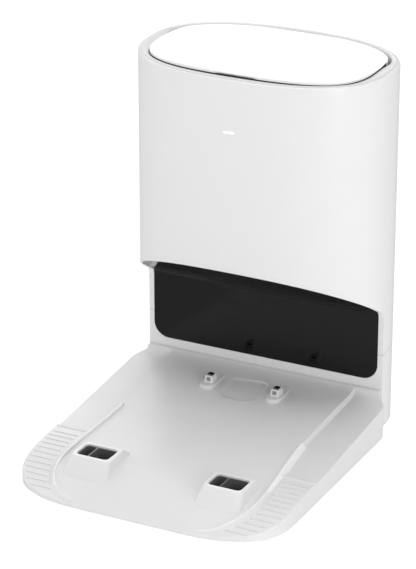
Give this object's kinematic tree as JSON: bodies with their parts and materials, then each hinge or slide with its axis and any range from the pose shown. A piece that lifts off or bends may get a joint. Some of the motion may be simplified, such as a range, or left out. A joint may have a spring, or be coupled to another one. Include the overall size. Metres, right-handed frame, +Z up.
{
  "type": "robot vacuum self-emptying base station",
  "caption": "Drive-on ramp tray with charging contacts and suction ports below an oval tower that holds a dust bag, fan and lid.",
  "frame": {"origin": "middle of the overall width and depth, on the floor under the rubber feet", "axes": "+Z up, -Y is the front edge of the tray where the robot drives in, +X to the right seen from the front"},
  "size_m": [0.307, 0.4115, 0.4096],
  "materials": {
    "white_shell": "fine satin texture",
    "lid_gloss": "smooth semi-gloss",
    "dark_gloss": "polished dark, lets infrared through",
    "grey_plastic": "moulded, unpainted",
    "dark_plastic": "moulded, unpainted",
    "soft_rubber": "matt",
    "plated_steel": "zinc plated",
    "contact_metal": "polished contact plating",
    "circuit_board": "solder mask",
    "bag_paper": "non-woven filter paper",
    "collar_card": "stiff card",
    "filter_fleece": "fleece",
    "light_lens": "diffusing lens"
  },
  "bodies": {
    "base": {"bag_bay": "grey_plastic", "bag_collar": "collar_card", "base_tray": "white_shell", "bottom_plate": "grey_plastic", "bottom_screw_1": "plated_steel", "bottom_screw_2": "plated_steel", "bottom_screw_3": "plated_steel", "bottom_screw_4": "plated_steel", "collar_holder": "white_shell", "contact_board": "circuit_board", "contact_spring_left": "plated_steel", "contact_spring_right": "plated_steel", "control_board": "circuit_board", "cover_screw_1": "plated_steel", "cover_screw_2": "plated_steel", "duct_left": "dark_plastic", "duct_right": "dark_plastic", "duct_riser": "dark_plastic", "dust_bag": "bag_paper", "exhaust_filter": "filter_fleece", "exhaust_grille": "grey_plastic", "fan_motor": "plated_steel", "hinge_bracket_left": "plated_steel", "hinge_bracket_right": "plated_steel", "hinge_pin_left": "plated_steel", "hinge_pin_right": "plated_steel", "ir_board": "circuit_board", "ir_emitter_1": "dark_plastic", "ir_emitter_2": "dark_plastic", "light_board": "circuit_board", "lower_housing": "white_shell", "mains_capacitor": "dark_plastic", "motor_cap": "grey_plastic", "motor_housing": "grey_plastic", "motor_mount": "soft_rubber", "motor_prefilter": "filter_fleece", "port_seal": "soft_rubber", "power_board": "circuit_board", "power_inlet": "dark_gloss", "rear_cover": "white_shell", "rubber_foot_1": "soft_rubber", "rubber_foot_2": "soft_rubber", "rubber_foot_3": "soft_rubber", "rubber_foot_4": "soft_rubber", "rubber_foot_5": "soft_rubber", "rubber_foot_6": "soft_rubber", "signal_panel": "dark_gloss", "status_light": "light_lens", "transformer": "dark_plastic", "upper_housing": "white_shell", "vent_frame_left": "dark_plastic", "vent_frame_right": "dark_plastic"},
    "lid": {"lid": "lid_gloss", "lid_liner": "white_shell", "lid_seal": "soft_rubber"},
    "contact_left": {"contact_left": "contact_metal"},
    "contact_right": {"contact_right": "contact_metal"},
    "fan": {"fan_impeller": "grey_plastic", "fan_shaft": "plated_steel"}
  },
  "joints": [
    {"name": "lid_hinge", "type": "hinge", "parent": "base", "child": "lid", "pos_m": [0, 0.188, 0.4055], "axis": [-1, 0, 0], "range_deg": [0, 57]},
    {"name": "contact_slide_left", "type": "slide", "parent": "base", "child": "contact_left", "axis": [0, 0, -1], "range_m": [0, 0.0011], "stiffness_N_per_m": 400, "springref_m": -0.0015, "deforming": ["contact_spring_left"]},
    {"name": "contact_slide_right", "type": "slide", "parent": "base", "child": "contact_right", "axis": [0, 0, -1], "range_m": [0, 0.0011], "stiffness_N_per_m": 400, "springref_m": -0.0015, "deforming": ["contact_spring_right"]},
    {"name": "fan_spin", "type": "hinge", "parent": "base", "child": "fan", "pos_m": [0.04, 0.15, 0.166], "axis": [0, 0, 1], "continuous": true}
  ]
}
